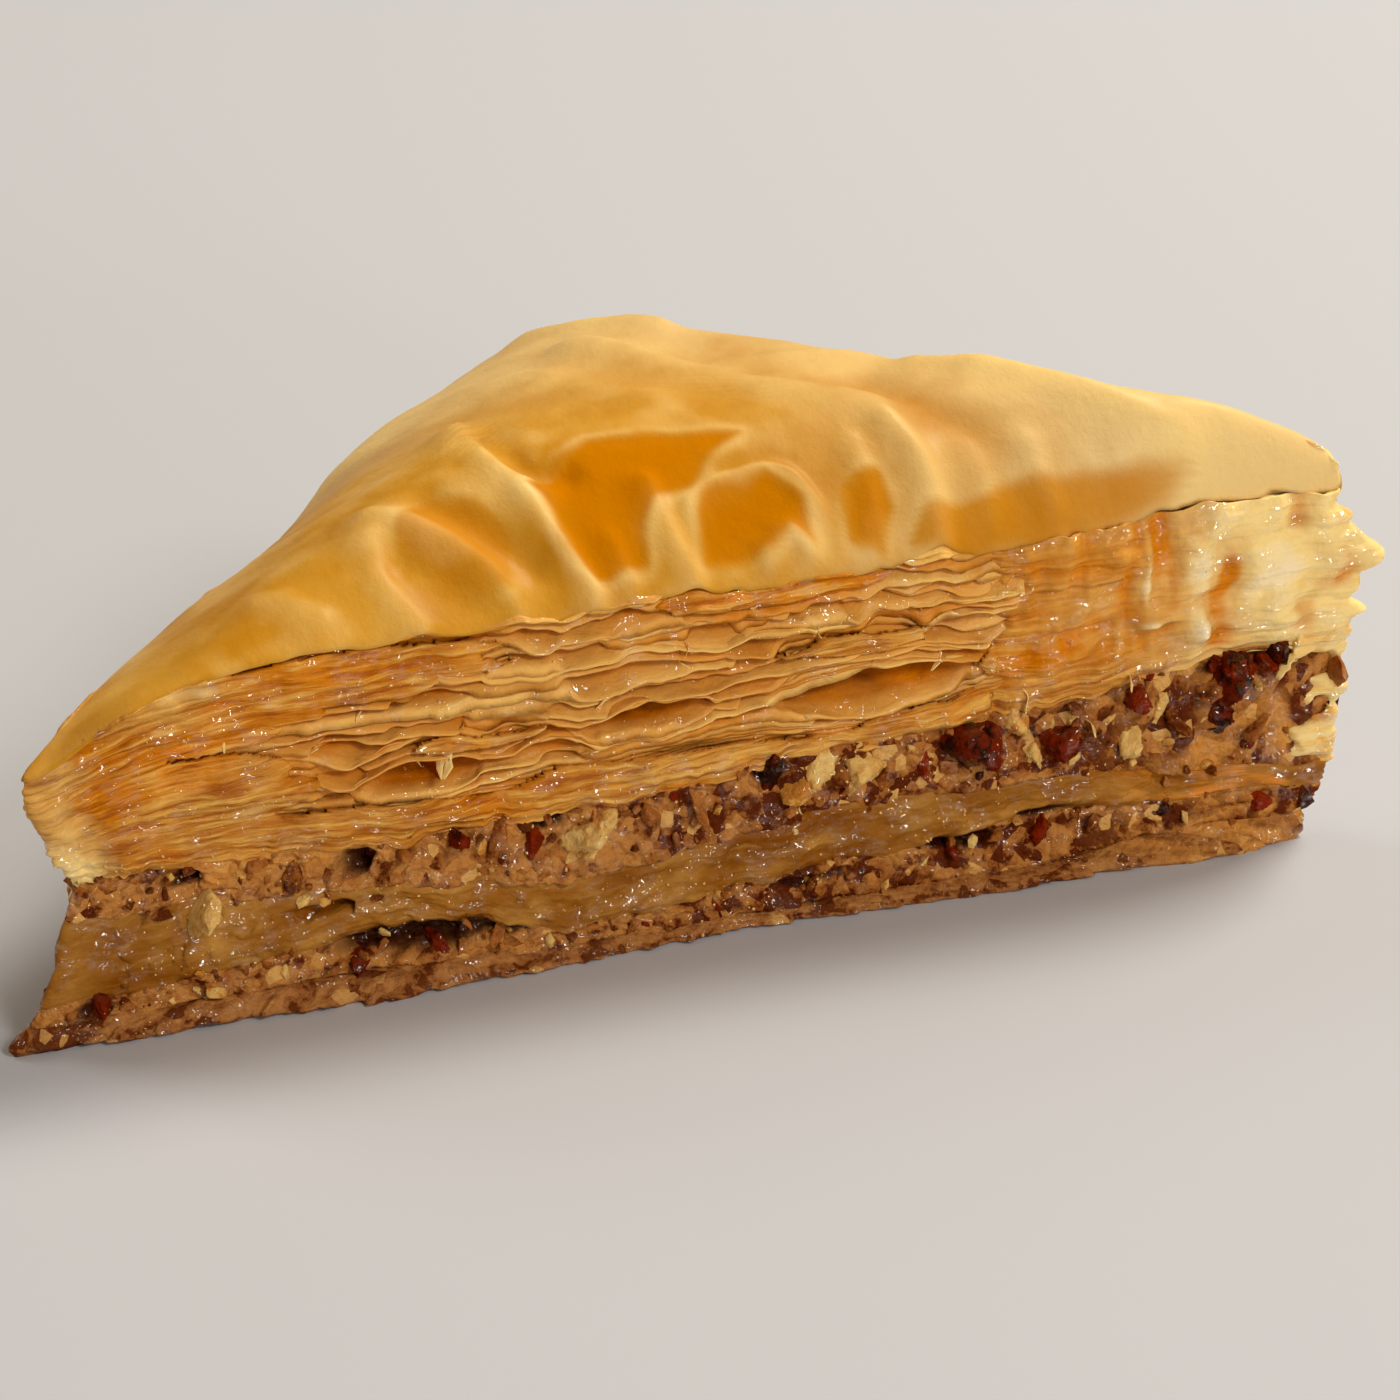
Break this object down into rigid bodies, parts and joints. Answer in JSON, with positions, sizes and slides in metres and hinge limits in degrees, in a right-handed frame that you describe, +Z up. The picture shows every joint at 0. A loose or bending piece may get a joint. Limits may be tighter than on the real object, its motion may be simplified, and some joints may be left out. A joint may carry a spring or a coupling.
{
  "type": "baklava piece",
  "caption": "Triangular piece of walnut baklava with a domed wrinkled crust over flaky sheets, walnut filling and syrup-soaked pastry.",
  "frame": {"origin": "under the middle of the piece's bounding box, on the surface it rests on", "axes": "+X along the long cut face to the right corner, +Y from the cut face to the square corner, +Z up"},
  "size_m": [0.0984, 0.0488, 0.0355],
  "materials": {
    "base_pastry": "brown baked sheets soaked in syrup, wet sheen",
    "walnut_filling": "chopped walnut in brown paste, skins dark red to black, glossy with syrup",
    "soaked_pastry": "pale amber sheets soaked together, translucent, wet sheen",
    "baked_crust": "thin golden baked sheets, wrinkled, cream at the ridges and amber where torn, syrup gloss"
  },
  "bodies": {
    "root": {"bottom_pastry": "base_pastry", "lower_walnut_filling": "walnut_filling", "middle_pastry": "soaked_pastry", "upper_walnut_filling": "walnut_filling", "top_pastry": "baked_crust"}
  },
  "joints": []
}
